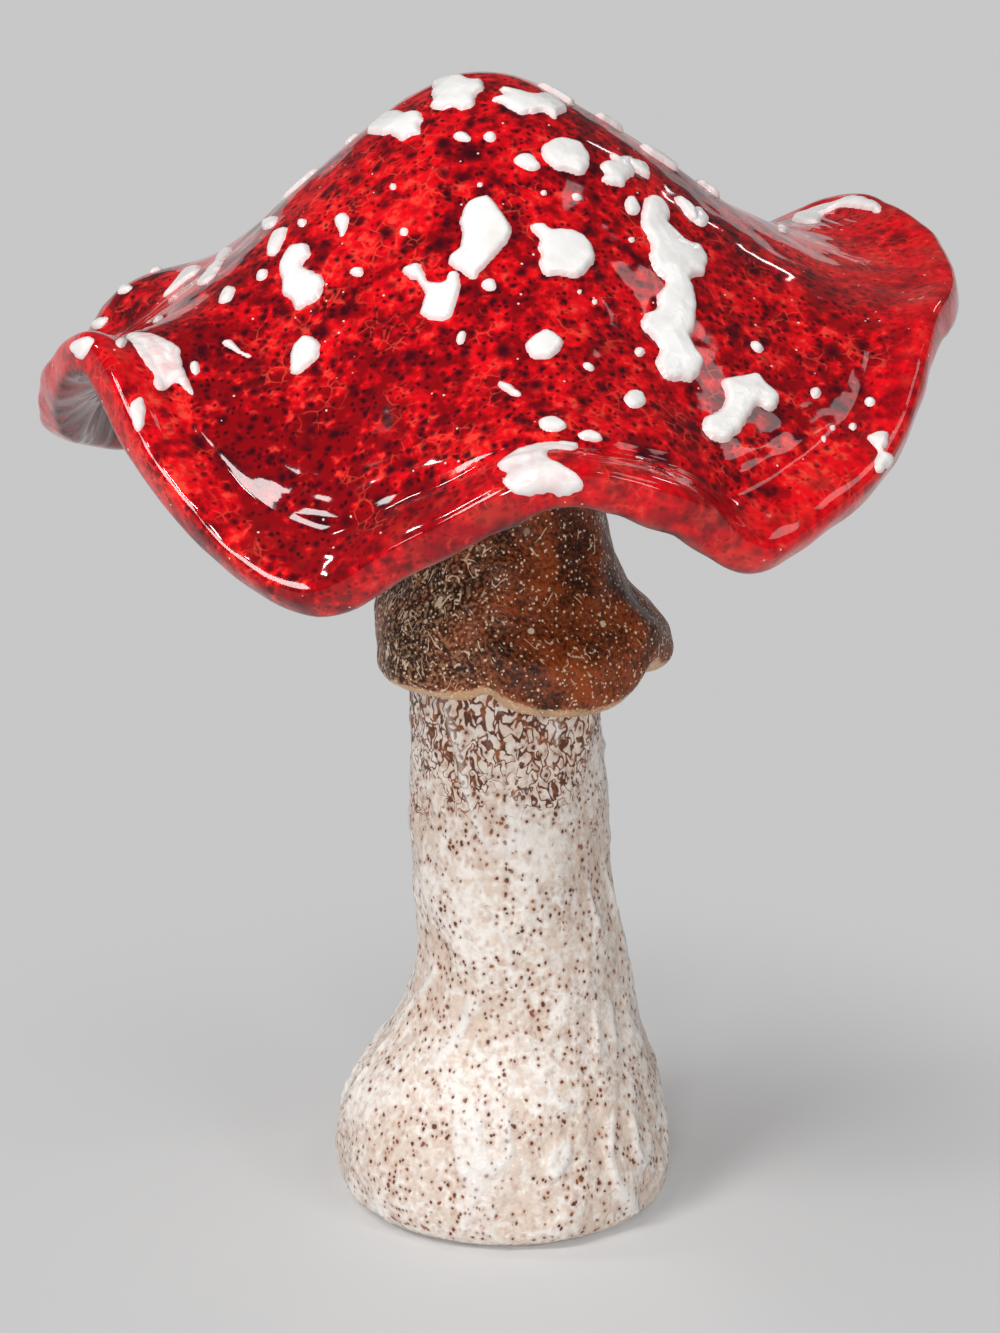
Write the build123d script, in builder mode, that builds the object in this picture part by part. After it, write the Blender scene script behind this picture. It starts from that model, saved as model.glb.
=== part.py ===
"""Hand-built ceramic mushroom: a hollow flared stem, a brown skirt luted on its neck
and a wavy red cap with raised white spots, which lifts off the stem's spigot."""

import os
from math import atan2, cos, degrees, hypot, radians, sin

from build123d import *

os.makedirs("parts", exist_ok=True)

# Sizes are millimetres. The table is z = 0, the stem's axis is Z and the front faces -Y.

# Stem, with a flat ring to stand on
foot_ring_radius = 26.0
foot_ring_bore = 18.0
foot_radius = 30.0
foot_height = 10.0
ankle_radius = 20.8
ankle_height = 34.0
stem_radius = 16.4
stem_lean = 2.6
stem_wall = 5.0
hollow_height = 95.0
hollow_top_radius = 9.0
shoulder_height = 101.0
stem_bands = 12

# Neck inside the skirt, with the step that carries the cap's collar and the spigot above it
neck_radius = 12.5
neck_length = 59.0
spigot_radius = 10.0
spigot_length = 24.0
spigot_chamfer = 1.5

# Skirt, a thick bell of clay round the neck
skirt_drop = 4.5
skirt_height = 44.0
skirt_edge_radius = 20.0
skirt_belly_radius = 25.2
skirt_belly_height = 7.5
skirt_top_radius = 13.8
skirt_lean = 1.6
skirt_wave = 0.7
skirt_lobes = 5
skirt_bands = 8
skirt_points = 20
neck_clearance = 0.2
shoulder_clearance = 0.6

# Cap, a dome that flares into a waving rim
cap_reach = 74.0
cap_wall = 6.5
lip_thickness = 9.0
dome_clearance = 8.75
dome_slope = 1.05
dome_tip = 18.0
dome_shift = -4.0
flare_power = 3.5
hump_power = 8
lip_power = 10
cap_points = 40
upper_bands = 16
under_bands = 8
lip_steps = 6

# Rim stations: azimuth from +X, inset from the reach, drop below the dome's top, hump behind the rim
rim_stations = [
    (12, 2, 31, 0),
    (26, 2, 29, 0),
    (38, -1, 30, 0),
    (56, 0, 41, 0),
    (80, 0, 56, 2),
    (103, 0, 48, 0),
    (128, 0, 58, 4),
    (150, 0, 65, 12),
    (168, 0, 60, 13),
    (182, 0, 54, 3),
    (197, 0, 43, 0),
    (212, 0, 36, 0),
    (224, 0, 49, 0),
    (247, -1, 64, 0),
    (260, 0, 55, 0),
    (276, 0, 46, 0),
    (290, 0, 51, 0),
    (300, 1, 59, 0),
    (311, 2, 56, 0),
    (326, 3, 49, 0),
    (341, 5, 37, 0),
    (357, 3, 34, 0),
]

# Collar luted under the dome, which drops over the spigot
collar_radius = 17.0
collar_clearance = 0.7
collar_points = 12
luting_gap = 0.6

# Raised spots of white glaze: azimuth, distance from the axis, length down the slope, width, turn
large_spots = [
    (219, 11, 10, 9, 0),
    (204, 20, 9, 11, 0),
    (289, 11, 8, 12, 0),
    (14, 17, 15, 6, 0),
    (297, 21, 8, 8, 0),
    (319, 23, 9, 7, 0),
    (262, 34, 15, 9, -15),
    (284, 36, 10, 11, 0),
    (307, 42, 31, 9, -27),
    (222, 44, 14, 8, 0),
    (255, 42, 11, 9, 30),
    (233, 53, 8, 5, 0),
    (276, 52, 6, 5, 0),
    (307, 60, 15, 9, 40),
    (321, 68, 8, 4, 0),
    (273, 70, 8, 14, 0),
    (217, 67, 12, 9, 0),
    (32, 66, 6, 13, 0),
    (206, 41, 5, 9, 25),
    (176, 51, 11, 8, 0),
    (60, 20, 8, 7, 0),
    (95, 33, 11, 9, 20),
    (135, 24, 9, 8, 0),
    (160, 37, 12, 7, -20),
    (120, 50, 14, 8, 15),
    (75, 52, 9, 11, 0),
    (40, 43, 13, 8, -15),
    (350, 50, 9, 7, 0),
    (145, 64, 8, 10, 0),
    (100, 66, 7, 9, 0),
    (12, 60, 7, 9, 30),
    (65, 68, 6, 8, 0),
]
large_spot_height = 1.3
small_spots = [
    (278, 22, 4.2),
    (334, 25, 3.8),
    (247, 19, 2.2),
    (261, 18, 2.0),
    (296, 28, 2.8),
    (220, 34, 4.2),
    (235, 40, 2.4),
    (266, 44, 2.4),
    (289, 60, 4.0),
    (321, 60, 2.2),
    (326, 66, 2.6),
    (275, 62, 3.0),
    (284, 64, 3.0),
    (267, 59, 2.6),
    (212, 53, 4.0),
    (338, 34, 4.2),
    (188, 43, 4.0),
    (240, 64, 2.4),
    (355, 30, 3.4),
    (30, 30, 3.0),
    (80, 42, 3.2),
    (112, 28, 3.4),
    (150, 50, 3.6),
    (55, 58, 3.0),
    (130, 38, 2.6),
    (170, 26, 3.2),
]
small_spot_height = 0.8
spot_seat = 0.5
large_spot_points = 12
small_spot_points = 8

# Heights that follow from the sizes above
spigot_base = shoulder_height + neck_length
spigot_top = spigot_base + spigot_length
dome_top = spigot_top + dome_clearance + cap_wall / 2
skirt_edge = shoulder_height - skirt_drop


def through(stations, place, column):
    """Smooth value of one column at a place, through the stations on either side of it."""
    last = len(stations) - 1
    index = max(i for i in range(last) if stations[i][0] <= place or i == 0)
    picked = [stations[min(max(index + step, 0), last)] for step in (-1, 0, 1, 2)]
    slopes = []
    for low, high in zip(picked, picked[1:]):
        run = high[0] - low[0]
        slopes.append((high[column] - low[column]) / run if run else None)
    before, rise, after = [slope if slope is not None else slopes[1] for slope in slopes]
    span = picked[2][0] - picked[1][0]
    share = (place - picked[1][0]) / span
    start = (before + rise) / 2 * span
    end = (rise + after) / 2 * span
    level = picked[1][column] + (picked[2][column] - picked[1][column]) * share**2 * (3 - 2 * share)
    return level + start * share * (1 - share) ** 2 - end * share**2 * (1 - share)


def rim(azimuth, column):
    """Value of a rim column at an azimuth, all the way round."""
    before = [(station[0] - 360, *station[1:]) for station in rim_stations[-3:]]
    after = [(station[0] + 360, *station[1:]) for station in rim_stations[:3]]
    return through(before + rim_stations + after, azimuth % 360, column)


def dome(distance):
    """Height of the plain dome at a distance from its axis."""
    return dome_top - (hypot(dome_slope * distance, dome_tip) - dome_tip)


def cap_middle(azimuth, share):
    """Point of the cap's middle surface, at a share of the way from the dome's top to the rim."""
    reach = cap_reach - rim(azimuth, 1)
    lift = dome_top - rim(azimuth, 2) - dome(reach)
    peak = (hump_power + 1) * ((hump_power + 1) / hump_power) ** hump_power
    hump = rim(azimuth, 3) * peak * share**hump_power * (1 - share)
    height = dome(share * reach) + lift * share**flare_power + hump
    out = share * reach
    turn = radians(azimuth)
    return Vector(dome_shift * (1 - share) + out * cos(turn), out * sin(turn), height)


def cap_frame(azimuth, share):
    """Middle point, outward run and upward normal of the cap, and half its wall there."""
    small = 0.01
    middle = cap_middle(azimuth, share)
    outward = (middle - cap_middle(azimuth, share - small)).normalized()
    along = cap_middle(azimuth + 1, share) - cap_middle(azimuth - 1, share)
    half = (cap_wall + (lip_thickness - cap_wall) * share**lip_power) / 2
    return middle, outward, outward.cross(along).normalized(), half


def cap_skin(x, y, lift):
    """Point above a plan position, at a lift off the cap's upper skin, or below its underside if negative."""
    share = 0.5
    for _ in range(12):
        run = x - dome_shift * (1 - share)
        azimuth = degrees(atan2(y, run))
        share = hypot(run, y) / (cap_reach - rim(azimuth, 1))
    middle, outward, normal, half = cap_frame(azimuth, share)
    return middle + normal * (half + lift if lift > 0 else lift - half)


def closed_ring(points):
    """Closed smooth wire through points."""
    return Wire([Edge.make_spline(points, periodic=True)])


def cap_ring(share, turn):
    """Ring of the cap's skin: turn 90 is the upper side, -90 the underside, and between them the lip."""
    points = []
    for step in range(cap_points):
        middle, outward, normal, half = cap_frame(360 * step / cap_points, share)
        points.append(middle + (outward * cos(radians(turn)) + normal * sin(radians(turn))) * half)
    return closed_ring(points)


with BuildPart() as cap:
    upper = [cap_ring((step / upper_bands) ** 0.8, 90) for step in range(1, upper_bands)]
    lip = [cap_ring(1, 90 - 180 * step / lip_steps) for step in range(lip_steps + 1)]
    under = [cap_ring((step / under_bands) ** 0.8, -90) for step in range(under_bands - 1, 0, -1)]
    top = Vertex(dome_shift, 0, dome_top + cap_wall / 2)
    ceiling = Vertex(dome_shift, 0, dome_top - cap_wall / 2)
    add(Solid.make_loft([top, *upper, *lip, *under, ceiling], ruled=True))
cap.part.label = "cap"
export_step(cap.part, "parts/cap.step")

with BuildPart() as stem:
    outline = [
        (0, foot_ring_radius, 0),
        (foot_height / 6, foot_radius - 1.5, 0),
        (0.6 * foot_height, foot_radius, 0),
        (1.2 * foot_height, foot_radius - 0.3, 0),
        (2 * foot_height, foot_radius - 2.4, 0),
        (ankle_height, ankle_radius, 0.7 * stem_lean),
        (ankle_height + 14, stem_radius + 1.6, stem_lean),
        (ankle_height + 32, stem_radius + 0.7, 0.2 * stem_lean),
        (shoulder_height, stem_radius, 0),
    ]
    for band in range(stem_bands + 1):
        height = shoulder_height * (band / stem_bands) ** 1.6
        with BuildSketch(Plane.XY.offset(height)):
            with Locations((through(outline, height, 2), 0)):
                Circle(through(outline, height, 1))
    loft(ruled=True)
    with BuildSketch(Plane.XY.offset(shoulder_height)):
        Circle(neck_radius)
    extrude(amount=neck_length)
    with BuildSketch(Plane.XY.offset(spigot_base)):
        Circle(spigot_radius)
    extrude(amount=spigot_length)
    chamfer(stem.edges().group_by(Axis.Z)[-1], spigot_chamfer)
    hollow = [
        (0, foot_ring_bore),
        (foot_height, foot_radius - stem_wall),
        (ankle_height, ankle_radius - stem_wall),
        (ankle_height + 32, stem_radius - stem_wall),
        (hollow_height, hollow_top_radius),
    ]
    for height, radius in hollow:
        with BuildSketch(Plane.XY.offset(height)):
            Circle(radius)
    loft(ruled=True, mode=Mode.SUBTRACT)
stem.part.label = "stem"
export_step(stem.part, "parts/stem.step")

with BuildPart() as skirt:
    bell = [
        (0, skirt_edge_radius, 0.6),
        (0.16 * skirt_belly_height, skirt_belly_radius - 2.0, 0.9),
        (skirt_belly_height, skirt_belly_radius, 1),
        (2 * skirt_belly_height, skirt_belly_radius - 3.3, -0.5),
        (0.6 * skirt_height, skirt_top_radius + 2.9, -0.2),
        (skirt_height, skirt_top_radius, 0),
    ]
    for band in range(skirt_bands + 1):
        height = skirt_height * (band / skirt_bands) ** 1.6
        radius = through(bell, height, 1)
        swing = through(bell, height, 2)
        points = []
        for step in range(skirt_points):
            turn = radians(360 * step / skirt_points)
            out = radius + swing * skirt_wave * cos(skirt_lobes * turn)
            points.append((swing * skirt_lean + out * cos(turn), out * sin(turn)))
        with BuildSketch(Plane.XY.offset(skirt_edge + height)):
            with BuildLine():
                Spline(*points, periodic=True)
            make_face()
    loft(ruled=True)
    with BuildSketch(Plane.XY.offset(shoulder_height)):
        Circle(neck_radius + neck_clearance)
    extrude(amount=skirt_height, mode=Mode.SUBTRACT)
    with BuildSketch(Plane.XY.offset(shoulder_height)):
        Circle(stem_radius + shoulder_clearance)
    extrude(amount=-skirt_height, mode=Mode.SUBTRACT)
skirt.part.label = "skirt"
export_step(skirt.part, "parts/skirt.step")

with BuildPart() as collar:
    bore = spigot_radius + collar_clearance
    foot = Wire.make_circle(collar_radius, Plane.XY.offset(spigot_base))
    turns = [radians(360 * step / collar_points) for step in range(collar_points)]
    seat = [cap_skin(collar_radius * cos(turn), collar_radius * sin(turn), -luting_gap) for turn in turns]
    add(Solid.make_loft([foot, closed_ring(seat), Vertex(0, 0, dome_top - cap_wall)], ruled=True))
    with BuildSketch(Plane.XY.offset(spigot_base)):
        Circle(bore)
    extrude(amount=spigot_length + dome_clearance, mode=Mode.SUBTRACT)
collar.part.label = "collar"
export_step(collar.part, "parts/collar.step")


def bead(azimuth, distance, length, width, turn, height, corners, lobed):
    """One raised spot: a lobed outline on the cap's skin, drawn in to a low rounded top."""
    out = radians(azimuth)
    axis = radians(azimuth + turn)
    fall = hypot(1, dome_slope)

    def ring(scale, lift):
        points = []
        for step in range(corners):
            angle = radians(360 * step / corners)
            lobe = 1 + lobed * (0.12 * cos(3 * angle + azimuth) + 0.07 * cos(5 * angle + distance))
            along = scale * lobe * length / 2 * cos(angle) / fall
            across = scale * lobe * width / 2 * sin(angle)
            x = distance * cos(out) + along * cos(axis) - across * sin(axis)
            y = distance * sin(out) + along * sin(axis) + across * cos(axis)
            points.append(cap_skin(x, y, spot_seat + lift))
        return Wire.make_polygon(points)

    def middle(lift):
        return Vertex(*cap_skin(distance * cos(out), distance * sin(out), spot_seat + lift))

    base = [ring(0.5, 0), ring(1, 0)] if lobed else [ring(1, 0)]
    crown = ring(0.8, 0.75 * height)
    return Solid.make_loft([middle(0), *base, crown, middle(height)], ruled=True)


with BuildPart() as large_spot_group:
    for azimuth, distance, length, width, turn in large_spots:
        add(bead(azimuth, distance, length, width, turn, large_spot_height, large_spot_points, 1))
large_spot_group.part.label = "large_spots"
export_step(large_spot_group.part, "parts/large_spots.step")

with BuildPart() as small_spot_group:
    for azimuth, distance, width in small_spots:
        add(bead(azimuth, distance, width, width, 0, small_spot_height, small_spot_points, 0))
small_spot_group.part.label = "small_spots"
export_step(small_spot_group.part, "parts/small_spots.step")
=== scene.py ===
"""Dresses the ceramic mushroom: a glazed red cap with white spots, a brown skirt, a speckled stem
and a plain studio round them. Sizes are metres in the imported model's own frame."""

from functools import reduce
from math import ceil, cos, pi, radians, sin

import bmesh
import bpy
import numpy as np
from bpy.props import FloatProperty, FloatVectorProperty, PointerProperty
from mathutils import Matrix, Vector, noise
from mathutils.bvhtree import BVHTree


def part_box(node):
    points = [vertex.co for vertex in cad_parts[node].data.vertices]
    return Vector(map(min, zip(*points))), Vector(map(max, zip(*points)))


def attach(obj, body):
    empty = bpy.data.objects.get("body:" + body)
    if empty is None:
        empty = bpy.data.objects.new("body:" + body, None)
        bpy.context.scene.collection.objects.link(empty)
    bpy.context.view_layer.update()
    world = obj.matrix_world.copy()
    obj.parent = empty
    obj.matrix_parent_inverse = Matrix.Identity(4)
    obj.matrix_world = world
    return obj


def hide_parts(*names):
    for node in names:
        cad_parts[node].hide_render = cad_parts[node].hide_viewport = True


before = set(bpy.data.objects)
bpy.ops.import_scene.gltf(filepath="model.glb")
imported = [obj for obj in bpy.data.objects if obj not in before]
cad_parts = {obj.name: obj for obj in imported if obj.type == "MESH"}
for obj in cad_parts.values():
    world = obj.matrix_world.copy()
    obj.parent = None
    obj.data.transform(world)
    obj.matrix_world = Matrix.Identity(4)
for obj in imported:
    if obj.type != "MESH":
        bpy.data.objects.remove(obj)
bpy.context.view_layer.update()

bl_info = {
    "name": "Ceramic mushroom",
    "version": (1, 0, 0),
    "blender": (4, 5, 0),
    "location": "3D View > Sidebar > Mushroom",
    "description": "Models and glazes a hand-built ceramic mushroom",
    "category": "Add Mesh",
}

MM = 0.001
UP = Vector((0, 0, 1))
CAST_FROM = 8 * MM
DROP_FROM = 0.3
WALL_TOLERANCE = 0.2 * MM

# Rim of the cap: azimuth from +X in degrees, then inset, drop and hump in millimetres
RIM_STATIONS = [
    (12, 2, 31, 0), (26, 2, 29, 0), (38, -1, 30, 0), (56, 0, 41, 0), (80, 0, 56, 2), (103, 0, 48, 0),
    (128, 0, 58, 4), (150, 0, 65, 12), (168, 0, 60, 13), (182, 0, 54, 3), (197, 0, 43, 0),
    (212, 0, 36, 0), (224, 0, 49, 0), (247, -1, 64, 0), (260, 0, 55, 0), (276, 0, 46, 0),
    (290, 0, 51, 0), (300, 1, 59, 0), (311, 2, 56, 0), (326, 3, 49, 0), (341, 5, 37, 0),
    (357, 3, 34, 0),
]

# Camera of the photograph, which is 1000 by 1333 pixels
PHOTO_WIDTH = 1000
PHOTO_HEIGHT = 1333
PHOTO_FOCUS = 3786
CAMERA_TARGET = Vector((-0.0012, 0, 0.097))
CAMERA_DISTANCE = 0.65
CAMERA_ELEVATION = 18

# Outlines of the large white spots in the photograph's pixels: blush, height in millimetres, corners
TRACED_SPOTS = {
    "apex_left": (0, 1.0, [(434, 85), (446, 77), (460, 77), (470, 81), (482, 82), (483, 90), (474, 97),
        (474, 105), (462, 111), (455, 107), (440, 110), (431, 106), (435, 100), (432, 95), (435, 90)]),
    "apex_low_left": (0, 1.0, [(368, 132), (385, 117), (395, 112), (407, 114), (419, 112), (422, 120),
        (419, 127), (420, 134), (410, 136), (402, 141), (392, 135), (380, 135)]),
    "apex_right": (0, 1.0, [(492, 100), (504, 95), (500, 89), (515, 91), (530, 95), (545, 95), (557, 101),
        (566, 110), (560, 114), (555, 119), (544, 112), (532, 114), (522, 114), (512, 110), (502, 104)]),
    "upper_middle": (0, 1.1, [(541, 151), (545, 145), (557, 139), (567, 140), (579, 144), (586, 152),
        (589, 162), (586, 170), (580, 175), (570, 172), (559, 171), (551, 166), (544, 159)]),
    "upper_small": (0, 0.8, [(514, 161), (520, 155), (530, 154), (536, 160), (540, 167), (532, 171),
        (522, 167)]),
    "upper_right": (0, 1.0, [(600, 166), (604, 162), (612, 161), (610, 154), (617, 157), (625, 157),
        (632, 160), (631, 167), (634, 174), (627, 180), (622, 187), (614, 185), (605, 182), (601, 180),
        (605, 174)]),
    "centre_left": (0, 1.2, [(489, 197), (502, 214), (511, 233), (496, 255), (482, 270), (473, 279),
        (461, 271), (449, 262), (461, 245), (463, 231), (461, 219), (467, 204), (482, 198)]),
    "centre_right": (0, 1.2, [(530, 226), (543, 224), (551, 230), (569, 230), (585, 239), (595, 255),
        (588, 270), (575, 278), (561, 275), (547, 276), (540, 266), (541, 254), (538, 249), (540, 239)]),
    "forked": (0, 1.0, [(403, 269), (417, 264), (423, 272), (426, 280), (437, 283), (446, 281), (450, 273),
        (458, 274), (459, 290), (455, 304), (449, 319), (433, 320), (421, 313), (425, 302), (425, 293),
        (419, 282), (408, 276)]),
    "long": (0, 1.3, [(648, 196), (663, 204), (669, 217), (666, 224), (673, 231), (686, 243), (698, 247),
        (706, 260), (702, 275), (691, 277), (690, 284), (695, 298), (694, 327), (690, 341), (701, 358),
        (702, 368), (694, 379), (682, 381), (665, 378), (657, 364), (660, 349), (653, 339), (642, 327),
        (645, 315), (657, 309), (658, 296), (666, 282), (655, 272), (649, 255), (651, 245), (642, 225),
        (643, 209)]),
    "bean": (0, 1.3, [(724, 380), (739, 377), (755, 375), (766, 386), (778, 397), (777, 406), (770, 411),
        (760, 406), (755, 407), (747, 420), (738, 433), (726, 442), (713, 440), (702, 428), (707, 418),
        (722, 408), (726, 397), (723, 387)]),
    "left_tall": (0, 1.1, [(285, 255), (293, 247), (307, 245), (310, 255), (304, 262), (303, 268),
        (321, 275), (323, 288), (317, 300), (303, 307), (297, 310), (292, 300), (283, 293), (282, 280),
        (280, 267)]),
    "left_low": (0, 1.0, [(292, 350), (302, 337), (313, 338), (320, 348), (317, 360), (307, 367),
        (300, 374), (292, 372), (291, 360)]),
    "middle_low": (0, 1.1, [(526, 346), (535, 335), (547, 330), (560, 339), (561, 347), (554, 356),
        (541, 359), (530, 355)]),
    "right_streak": (0.2, 0.8, [(868, 437), (878, 432), (888, 433), (887, 443), (883, 450), (892, 458),
        (887, 468), (877, 473), (875, 462), (878, 452), (872, 443)]),
    "front_lip": (0.35, 0.5, [(497, 465), (513, 452), (530, 445), (553, 442), (577, 443), (573, 450),
        (562, 449), (548, 450), (547, 457), (557, 462), (567, 467), (580, 478), (582, 488), (567, 495),
        (547, 493), (527, 495), (513, 492), (502, 482), (507, 473)]),
    "fold_big": (0.6, 0.5, [(128, 335), (143, 333), (170, 342), (180, 350), (182, 367), (193, 390),
        (190, 395), (177, 382), (163, 390), (155, 387), (153, 373), (143, 360), (132, 343)]),
    "fold_lip": (0.2, 0.5, [(130, 407), (140, 397), (145, 408), (143, 427), (137, 432), (132, 420)]),
    "fold_end": (0.2, 0.5, [(70, 347), (77, 340), (92, 337), (93, 343), (85, 357), (78, 358)]),
    "left_streak": (0.3, 0.7, [(163, 297), (175, 282), (185, 270), (200, 266), (197, 273), (187, 280),
        (175, 290)]),
    "left_long_streak": (0.2, 0.7, [(197, 285), (205, 275), (215, 262), (225, 250), (238, 236), (240, 233),
        (232, 250), (220, 268), (207, 283)]),
    "left_leaf": (0.2, 0.8, [(267, 253), (273, 235), (287, 228), (283, 242), (275, 255)]),
    "left_splash": (0, 0.7, [(223, 343), (230, 340), (240, 350), (250, 355), (249, 358), (237, 352)]),
    "upper_splash": (0, 0.7, [(335, 218), (345, 213), (348, 223), (342, 237), (338, 227)]),
    "right_lobe": (0.1, 0.8, [(793, 218), (817, 208), (837, 202), (860, 197), (880, 205), (878, 213),
        (867, 210), (840, 207), (823, 215), (817, 223), (800, 223)]),
}

# Small round spots in the photograph's pixels: centre, width, height, turn in degrees
ROUND_SPOTS = [
    (462, 137, 17, 9, 10), (490, 137, 12, 10, 0), (640, 168, 18, 12, 35), (577, 197, 10, 7, 15),
    (544, 193, 6, 5, 0), (480, 185, 5, 4, 0), (393, 187, 6, 6, 0), (404, 232, 8, 8, 0),
    (489, 285, 14, 12, 0), (461, 338, 8, 14, 20), (589, 367, 12, 7, 30), (509, 389, 26, 8, 32),
    (552, 424, 27, 15, 5), (590, 436, 23, 11, 8), (635, 399, 21, 18, 0), (640, 352, 10, 9, 0),
    (632, 206, 14, 19, -15), (699, 217, 14, 22, -35), (595, 302, 5, 5, 0), (580, 292, 4, 4, 0),
    (632, 240, 6, 5, 0), (757, 347, 14, 9, 40), (816, 393, 10, 11, 0), (870, 402, 10, 9, 0),
    (833, 428, 5, 5, 0), (853, 427, 7, 7, 40), (824, 439, 4, 6, 0), (783, 231, 12, 6, 10),
    (357, 272, 13, 9, 0), (262, 275, 13, 9, -45), (227, 295, 21, 11, -50), (270, 223, 18, 9, -35),
    (302, 223, 9, 7, -20), (158, 319, 12, 6, -50), (195, 368, 9, 14, -10), (121, 343, 10, 9, 0),
    (124, 289, 16, 8, -15), (100, 323, 18, 8, -30),
]

# Spots that the photograph doesn't show whole, in degrees and millimetres: azimuth, distance, length
# down the slope, width and turn, and for the dots azimuth, distance and width
FAR_SPOTS = [
    (4, 8, 7, 3.6, -25), (10, 17, 6, 3.0, 14), (3, 25, 8, 4.0, 22), (11, 34, 5, 3.2, -10),
    (331, 24, 5, 3.4, 30), (335, 32, 6, 3.0, -18), (60, 20, 8, 7, 0), (95, 33, 11, 9, 20),
    (135, 24, 9, 8, 0), (160, 37, 12, 7, -20), (120, 50, 14, 8, 15), (75, 52, 9, 11, 0),
    (40, 43, 13, 8, -15), (145, 64, 8, 10, 0), (100, 66, 7, 9, 0), (65, 68, 6, 8, 0),
]
FAR_DOTS = [
    (30, 30, 3.0), (80, 42, 3.2), (112, 28, 3.4), (150, 50, 3.6), (55, 58, 3.0), (130, 38, 2.6),
    (170, 26, 3.2), (20, 50, 2.6), (88, 60, 2.4), (125, 66, 2.6), (105, 18, 2.6), (165, 62, 2.4),
]

# Softboxes: azimuth and elevation in degrees, distance, width and height in metres, radiance
SOFTBOXES = {
    "key": (-138, 42, 1.2, 0.34, 0.34, 18.6),
    "fill": (-46, 30, 1.2, 0.30, 0.22, 8.0),
    "front": (-96, 12, 1.4, 0.18, 0.14, 70.0),
    "right_panel": (-4, 55, 1.0, 0.34, 0.20, 3.0),
    "left_bar": (-121, 55, 1.1, 0.14, 0.06, 55.0),
    "right_bar": (-60, 50, 1.1, 0.10, 0.05, 40.0),
    "back_left_bar": (168, 49, 1.1, 0.06, 0.12, 55.0),
    "back_right_bar": (56, 33, 1.1, 0.03, 0.16, 12.0),
}


def length(name, description, default):
    """A size in metres."""
    return FloatProperty(name=name, description=description, default=default, unit="LENGTH", precision=4)


def number(name, description, default):
    """A plain factor."""
    return FloatProperty(name=name, description=description, default=default)


def colour(name, description, default):
    """A glaze colour."""
    return FloatVectorProperty(
        name=name, description=description, default=default, subtype="COLOR", min=0, max=1
    )


class CapSizes(bpy.types.PropertyGroup):
    """Sizes of the waving cap."""

    reach: length("Reach", "From the axis to the middle of the rim", 0.074)
    wall: length("Wall", "Thickness of the cap", 0.0065)
    lip: length("Lip", "Thickness of the rim", 0.009)
    dome_tip: length("Dome tip", "How far the dome's top is rounded", 0.018)
    dome_slope: number("Dome slope", "Fall of the dome over its run", 1.05)
    dome_shift: length("Dome shift", "Offset of the dome's top from the axis along X", -0.004)
    flare_power: number("Flare power", "How late the rim leaves the dome", 3.5)
    hump_power: number("Hump power", "How close to the rim a hump stands", 8)
    lip_power: number("Lip power", "How late the lip thickens", 10)
    lip_square: number("Lip squareness", "1 for a round lip, less for a flat face", 0.62)
    groove: length("Groove", "Depth of the groove behind the lip", 0.0008)
    lump: length("Lumps", "Height of the hand-pressed lumps", 0.0006)
    ripple: length("Ripples", "Height of the runs of glaze along the rim", 0.00007)
    wrinkle: length("Wrinkles", "Height of the wrinkles underneath", 0.0006)


class StemSizes(bpy.types.PropertyGroup):
    """Sizes of the stem, its neck and its hollow."""

    foot_ring: length("Foot ring", "Outer radius of the flat ring it stands on", 0.026)
    foot_bore: length("Foot bore", "Inner radius of that ring", 0.018)
    foot: length("Foot", "Radius of the foot", 0.030)
    foot_height: length("Foot height", "Height of the foot's widest place", 0.010)
    ankle: length("Ankle", "Radius above the foot", 0.0208)
    ankle_height: length("Ankle height", "Height of the ankle", 0.034)
    shaft: length("Shaft", "Radius under the skirt", 0.0164)
    lean: length("Lean", "How far the shaft leans", 0.0026)
    shoulder: length("Shoulder", "Height of the shaft's top", 0.101)
    neck: length("Neck", "Radius inside the skirt", 0.0125)
    neck_top: length("Neck top", "Height of the step under the collar", 0.160)
    spigot: length("Spigot", "Radius of the peg for the cap", 0.010)
    spigot_top: length("Spigot top", "Height of the peg", 0.184)
    hollow_top: length("Hollow", "Height of the hollow", 0.095)
    relief: length("Relief", "Height of the modelled lumps", 0.0009)
    ridge: length("Ridges", "Height of the raised strands of slip", 0.0007)


class SkirtSizes(bpy.types.PropertyGroup):
    """Sizes of the bell of clay round the neck."""

    edge_height: length("Edge height", "Height of the lower edge", 0.0965)
    height: length("Height", "From the lower edge to the top", 0.044)
    edge: length("Edge", "Radius of the lower edge", 0.020)
    belly: length("Belly", "Largest radius", 0.0252)
    belly_height: length("Belly height", "Height of the belly over the edge", 0.0075)
    top: length("Top", "Radius at the top", 0.0138)
    bore: length("Bore", "Radius of the bore for the neck", 0.0127)
    lean: length("Lean", "How far the belly leans", 0.0016)
    wave: length("Wave", "Height of the five soft lobes", 0.0007)
    overlap: length("Overlap", "Step where the strip of clay laps over itself", 0.0011)
    droop: length("Droop", "How far the lapping flap hangs", 0.0020)
    flare: length("Flare", "How far the hanging flap turns out", 0.0016)
    relief: length("Relief", "Height of the pressed lumps", 0.0008)


class SpotSizes(bpy.types.PropertyGroup):
    """Sizes of the raised white spots."""

    cell: length("Cell", "Spacing of the vertices", 0.0004)
    edge: length("Edge", "Width of the rounded edge", 0.0010)
    scallop: length("Scallop", "How far the border wanders", 0.0003)
    sink: length("Sink", "How far the border runs on under the red glaze", 0.0004)


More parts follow.
